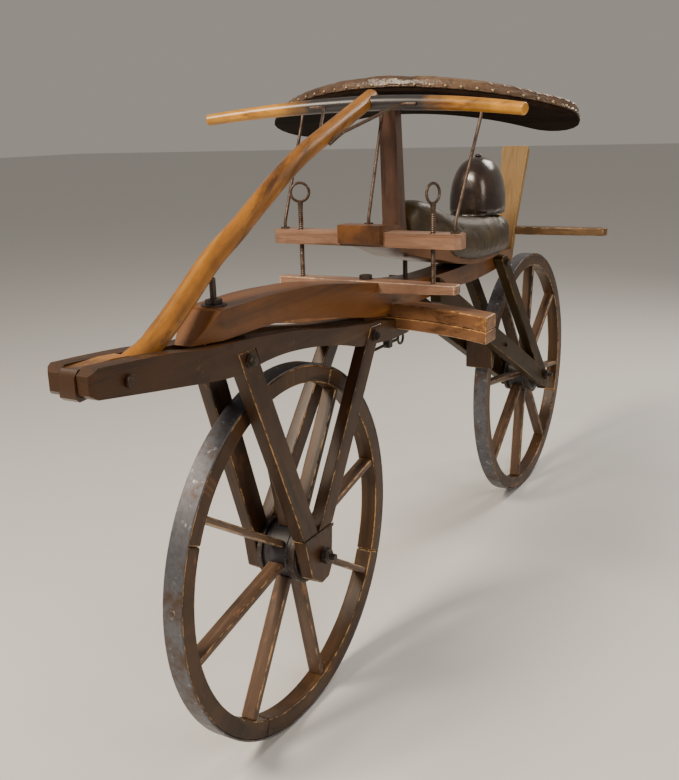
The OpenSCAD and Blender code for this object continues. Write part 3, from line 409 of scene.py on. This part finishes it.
# The tiller's foot: dark and knocked about where it fills the gap between the cheeks
def tiller_foot_finish():
    tree = tiller_wood.node_tree
    shader = next(n for n in tree.nodes if n.type == "BSDF_PRINCIPLED")
    tone = shader.inputs["Base Color"].links[0].from_socket
    wear = add(tree, "Attribute", {"attribute_name": "wear"}).outputs["Fac"]
    place = add(tree, "TexCoord").outputs["Object"]
    x = add(tree, "SeparateXYZ", Vector=place).outputs["X"]
    ragged = add(tree, "TexNoise", Vector=place, Scale=45.0, Detail=5.0, Roughness=0.7).outputs["Fac"]
    reach = maths(tree, "ADD", x, maths(tree, "MULTIPLY", ragged, 0.06))
    # The stain starts at x = 1.02 m and is full 90 mm on
    foot = maths(tree, "MULTIPLY", maths(tree, "SUBTRACT", reach, 1.02), 8.0)
    foot = ramp(tree, foot, [(0.2, [0, 0, 0, 1]), (0.7, [1, 1, 1, 1])])
    bare = maths(tree, "MULTIPLY", wear, maths(tree, "GREATER_THAN", ragged, 0.47))
    dark = mixed(tree, bare, colour("3c2718"), colour("a8703c"))
    tree.links.new(mixed(tree, foot, tone, dark), shader.inputs["Base Color"])


tiller_foot_finish()


softened("handlebar", 0.003, along_y, handlebar_finish(), angle=45, smooth=60)

# ---------- Iron pieces ----------

for node, width in (
    ("frame_bolts", 0.0012), ("rear_axle", 0.0008), ("front_axle", 0.0008), ("rear_axle_nuts", 0.0012),
    ("front_axle_nuts", 0.0012), ("brake_pin", 0.0008), ("seat_hinge_bracket", 0.0008),
    ("seat_hinge_leaf", 0.0008), ("kingpin_plate", 0.0005), ("kingpin_nut", 0.0012), ("leg_bolts", 0.0006),
    ("foot_straps", 0.0005), ("tiller_pivot_bolt", 0.0010), ("ring_screw", 0.0006), ("kingpin", 0.0008),
):
    softened(node, width, along_x, angle=35, segments=2)
for node in ("handlebar_braces", "balance_stays"):
    softened(node, 0.0008, along_x, angle=50, segments=2, smooth=60)


def thread(bm, centre, root, crest, low, high, pitch):
    """Adds a screw thread round an upright rod: one V turned up the rod, closed at both ends."""
    turns = int((high - low) / pitch)
    ring = 14
    base = Vector((centre[0], centre[1], low + pitch / 2))
    vee = ((root, -pitch / 2), (crest, 0), (root, pitch / 2))
    corners = [bm.verts.new(base + Vector((r, 0, z))) for r, z in vee]
    edges = [bm.edges.new(corners[:2]), bm.edges.new(corners[1:])]
    first = list(corners)
    made = bmesh.ops.spin(bm, geom=corners + edges, cent=(centre[0], centre[1], 0), axis=(0, 0, 1),
                          dvec=(0, 0, pitch / ring), angle=2 * math.pi * turns, steps=ring * turns,
                          use_duplicate=False)
    last = [g for g in made["geom_last"] if isinstance(g, bmesh.types.BMVert)]
    bm.faces.new(first)
    bm.faces.new(last)


def rod_core(bm, centre, radius, low, high):
    made = bmesh.ops.create_cone(bm, cap_ends=True, segments=20, radius1=radius, radius2=radius,
                                 depth=high - low)
    bmesh.ops.translate(bm, verts=made["verts"], vec=(centre[0], centre[1], (low + high) / 2))


def threaded_rods(name, node, rods, pitch=0.004):
    """Rods with a cut thread: (centre, outer radius, low, high)."""
    bm = bmesh.new()
    for centre, radius, low, high in rods:
        rod_core(bm, centre, radius - 0.0008, low, high)
        thread(bm, centre, radius - 0.0009, radius, low, high, pitch)
    bmesh.ops.remove_doubles(bm, verts=bm.verts, dist=0.00001)
    bmesh.ops.recalc_face_normals(bm, faces=bm.faces)
    marked(bm, along_z)
    return piece(name, bm, body_of_node[node], rusty_iron, 50)


def eye(bm, centre, ring_r, wire_r, turn):
    """A ring of wire standing over the rod."""
    circle = bmesh.ops.create_circle(bm, cap_ends=False, segments=12, radius=wire_r)
    bmesh.ops.translate(bm, verts=circle["verts"], vec=(0, ring_r, 0))
    edges = list({e for v in circle["verts"] for e in v.link_edges})
    before = set(bm.verts) - set(circle["verts"])
    bmesh.ops.spin(bm, geom=circle["verts"] + edges, cent=(0, 0, 0), axis=(1, 0, 0), angle=2 * math.pi,
                   steps=40, use_merge=True, use_duplicate=False)
    fresh = [v for v in bm.verts if v not in before]
    bmesh.ops.rotate(bm, verts=fresh, cent=(0, 0, 0), matrix=Matrix.Rotation(math.radians(turn), 3, "Z"))
    bmesh.ops.translate(bm, verts=fresh, vec=centre)


for side, s, turn in (("left", 1, 73), ("right", -1, 32)):
    node = "eye_screw_" + side
    bm = bmesh.new()
    at = (bar_x, s * eye_y)
    rod_core(bm, at, 0.0043, 0.770, 0.9425)
    thread(bm, at, 0.0042, 0.0052, 0.7705, 0.925, 0.004)
    # The plain neck swells into the eye
    made = bmesh.ops.create_cone(bm, cap_ends=True, segments=20, radius1=0.0046, radius2=0.0058, depth=0.018)
    bmesh.ops.translate(bm, verts=made["verts"], vec=(at[0], at[1], 0.934))
    eye(bm, (at[0], at[1], eye_z), 0.0185, 0.00275, turn)
    bmesh.ops.remove_doubles(bm, verts=bm.verts, dist=0.00001)
    bmesh.ops.recalc_face_normals(bm, faces=bm.faces)
    marked(bm, along_z)
    piece("threaded_" + node, bm, body_of_node[node], rusty_iron, 50, (node,))

threaded_rods("kingpin_thread", "kingpin", [((kingpin_x, 0), 0.0054, 0.8385, 0.8685)], 0.003)
threaded_rods("beam_stud_thread", "frame_bolts", [((0.086, 0), 0.0054, 0.7655, 0.8015)], 0.003)

# ---------- Leather pieces ----------


def apply_modifiers(made):
    """Writes what the modifiers give into the mesh and drops them."""
    seen = made.evaluated_get(bpy.context.evaluated_depsgraph_get())
    fresh = bpy.data.meshes.new_from_object(seen)
    made.modifiers.clear()
    old = made.data
    made.data = fresh
    bpy.data.meshes.remove(old)


def relaxed(bm, passes):
    for _ in range(passes):
        bmesh.ops.smooth_vert(bm, verts=bm.verts, factor=0.5, use_axis_x=True, use_axis_y=True, use_axis_z=True)


def stuffed(node, voxel, cap, material, name, shape, still):
    """A stuffed leather piece: the node's copy is remeshed, shaped, puffed out by cloth pressure and then held to
    within cap of where it started. still tells which points lie on wood and stay put."""
    bm = merged(node)
    bmesh.ops.triangulate(bm, faces=bm.faces)
    mesh = bpy.data.meshes.new(name)
    bm.to_mesh(mesh)
    bm.free()
    made = bpy.data.objects.new(name, mesh)
    bpy.context.scene.collection.objects.link(made)
    bpy.context.view_layer.objects.active = made
    remesh = made.modifiers.new("Even mesh", "REMESH")
    remesh.mode = "VOXEL"
    remesh.voxel_size = voxel
    apply_modifiers(made)
    bm = bmesh.new()
    bm.from_mesh(made.data)
    relaxed(bm, 5)
    bm.to_mesh(made.data)
    bm.free()
    for v in made.data.vertices:
        v.co = shape(v.co.copy(), v.normal.copy())
    made.data.update()
    start = [v.co.copy() for v in made.data.vertices]
    up = [v.normal.copy() for v in made.data.vertices]
    steps = 20
    cloth = made.modifiers.new("Stuffing", "CLOTH")
    cloth.settings.quality = 5
    cloth.settings.use_pressure = True
    cloth.settings.uniform_pressure_force = 4.0
    cloth.settings.effector_weights.gravity = 0.0
    cloth.collision_settings.use_collision = False
    cloth.point_cache.frame_start = 1
    cloth.point_cache.frame_end = steps
    for step in range(1, steps + 1):
        bpy.context.scene.frame_set(step)
    apply_modifiers(made)
    bpy.context.scene.frame_set(1)
    for v, home, facing in zip(made.data.vertices, start, up):
        move = v.co - home
        hold = 0.0 if still(facing) else cap
        if move.length > hold:
            move = move.normalized() * hold
        v.co = home + move
    bm = bmesh.new()
    bm.from_mesh(made.data)
    relaxed(bm, 1)
    bmesh.ops.subdivide_edges(bm, edges=bm.edges, cuts=1, use_grid_fill=True, smooth=0.3)
    bm.to_mesh(made.data)
    bm.free()
    made.data.shade_smooth()
    made.data.materials.clear()
    made.data.materials.append(material)
    return made


def settle(made, node):
    """Puts a stuffed piece in its node's place."""
    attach(made, body_of_node[node])
    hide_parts(node)


def underneath(facing):
    return facing.z < -0.35


def gathered(p, n):
    """Pleats gathered along the saddle's lower edge, deeper towards the bottom."""
    low = max(0.0, min(1.0, (0.822 - p.z) / 0.05))
    side = max(0.0, 1 - abs(n.z) * 1.4)
    ripple = math.sin(p.x * 2 * math.pi / 0.027 + 2.4 * math.sin(p.x * 37)) + 0.8 * noise.noise(p * 40)
    slack = 0.0016 * noise.noise(p * 14)
    return p + n * (0.0017 * ripple * low * side + slack - 0.0012)


saddle = stuffed("saddle", 0.0045, 0.004, olive_leather, "gathered_saddle", gathered, underneath)
settle(saddle, "saddle")


def drawn_in(p, n):
    """The bolster's leather is pulled tight at its base seam."""
    low = max(0.0, min(1.0, (0.876 - p.z) / 0.012))
    return p - n * (0.002 + 0.003 * low)


bolster = stuffed("saddle_bolster", 0.005, 0.003, black_leather, "domed_bolster", drawn_in, underneath)
settle(bolster, "saddle_bolster")

# Directions of the arm pad: out of its top, and forwards along it
pad_up = Vector((-math.sin(pad_tilt), 0, math.cos(pad_tilt)))
pad_in = Vector((math.cos(pad_tilt), 0, math.sin(pad_tilt)))


def crowned(p, n):
    """The pad's leather is thickest along its middle and thin where it is tacked down."""
    lift = (p - pad_front).dot(pad_up) + pad_t
    return p - pad_up * lift * 0.08 - n * 0.001


def on_the_board(facing):
    return facing.dot(pad_up) < -0.2


pad = stuffed("balance_pad", 0.0045, 0.006, brown_leather, "tacked_arm_pad", crowned, on_the_board)
settle(pad, "balance_pad")

# The covered button in the bolster's crown
bm = bmesh.new()
made = bmesh.ops.create_uvsphere(bm, u_segments=20, v_segments=10, radius=0.009)
bmesh.ops.scale(bm, vec=(1, 1, 0.42), verts=bm.verts)
bmesh.ops.translate(bm, verts=bm.verts, vec=(-0.345, 0, 1.0060))
marked(bm, along_x)
piece("leather_button", bm, "seat", black_leather, 180, ("bolster_button",))


def pad_point(angle, radius, lift):
    """A point of the arm pad: angle round its curve, distance from the curve's middle and height over its top."""
    forwards = radius * math.cos(angle) - pad_outer_r
    return pad_front + pad_in * forwards + Y * radius * math.sin(angle) + pad_up * lift


# Brass tacks 30 mm apart along the pad's lower front edge, and along its back edge
bm = bmesh.new()
tack_every = 0.030
end = math.asin((pad_half - pad_end_r) / (pad_outer_r - pad_end_r))
for radius, out in ((pad_outer_r - 0.0004, 1), (pad_inner_r + 0.0004, -1)):
    count = int(2 * end * radius / tack_every)
    for i in range(count + 1):
        a = -end + 2 * end * i / count
        made = bmesh.ops.create_uvsphere(bm, u_segments=10, v_segments=6, radius=0.0028)
        bmesh.ops.scale(bm, vec=(0.5, 1, 1), verts=made["verts"])
        facing = (pad_in * math.cos(a) + Y * math.sin(a)) * out
        turn = facing.to_track_quat("X", "Z").to_matrix()
        bmesh.ops.rotate(bm, cent=(0, 0, 0), matrix=turn, verts=made["verts"])
        bmesh.ops.translate(bm, verts=made["verts"], vec=pad_point(a, radius, -0.0195))
marked(bm, along_x)
piece("arm_pad_tacks", bm, "seat", tack_brass, 180)

# ---------- Floor, lights and camera ----------

bm = bmesh.new()
bmesh.ops.create_grid(bm, x_segments=1, y_segments=1, size=40)
mesh = bpy.data.meshes.new("floor")
bm.to_mesh(mesh)
bm.free()
floor = bpy.data.objects.new("floor", mesh)
bpy.context.scene.collection.objects.link(floor)
made, tree, shader = new_material("pale_matt_floor")
shader.inputs["Base Color"].default_value = colour("d9d8d6")
shader.inputs["Roughness"].default_value = 0.9
mesh.materials.append(made)

world = bpy.data.worlds.new("soft_room")
bpy.context.scene.world = world
world.use_nodes = True
sky = world.node_tree.nodes["Background"]
sky.inputs["Color"].default_value = colour("efe6da")
sky.inputs["Strength"].default_value = 0.36


def lamp(name, place, aim, size, power, tone="ffffff"):
    light = bpy.data.lights.new(name, "AREA")
    light.shape = "RECTANGLE"
    light.size, light.size_y = size
    light.energy = power
    light.color = colour(tone)[:3]
    made = bpy.data.objects.new(name, light)
    bpy.context.scene.collection.objects.link(made)
    made.location = place
    made.rotation_euler = (Vector(aim) - Vector(place)).to_track_quat("-Z", "Y").to_euler()


lamp("key", (2.6, -0.9, 3.2), (0.2, 0, 0.6), (1.1, 1.1), 175, "fff0da")
lamp("fill", (1.6, 3.0, 2.2), (0, 0, 0.6), (1.6, 1.4), 46, "fff4e6")
lamp("back", (-2.6, 0.8, 2.8), (0, 0, 0.7), (1.2, 1.2), 66, "fff6ea")

yaw, pitch, roll = math.radians(209.58), math.radians(15.87), math.radians(-1.75)
look = Vector((math.cos(yaw) * math.cos(pitch), math.sin(yaw) * math.cos(pitch), -math.sin(pitch)))
right = look.cross(Z).normalized()
above = right.cross(look)
level = right * math.cos(roll) + above * math.sin(roll)
upright = above * math.cos(roll) - right * math.sin(roll)
lens = bpy.data.cameras.new("view")
lens.sensor_fit = "AUTO"
lens.sensor_width = 36
lens.lens = 42.7385
lens.clip_end = 60
camera = bpy.data.objects.new("view", lens)
bpy.context.scene.collection.objects.link(camera)
turned = Matrix((level, upright, -look)).transposed().to_4x4()
camera.matrix_world = Matrix.Translation((1.896, 0.855, 1.085)) @ turned
bpy.context.scene.camera = camera

bpy.context.view_layer.update()
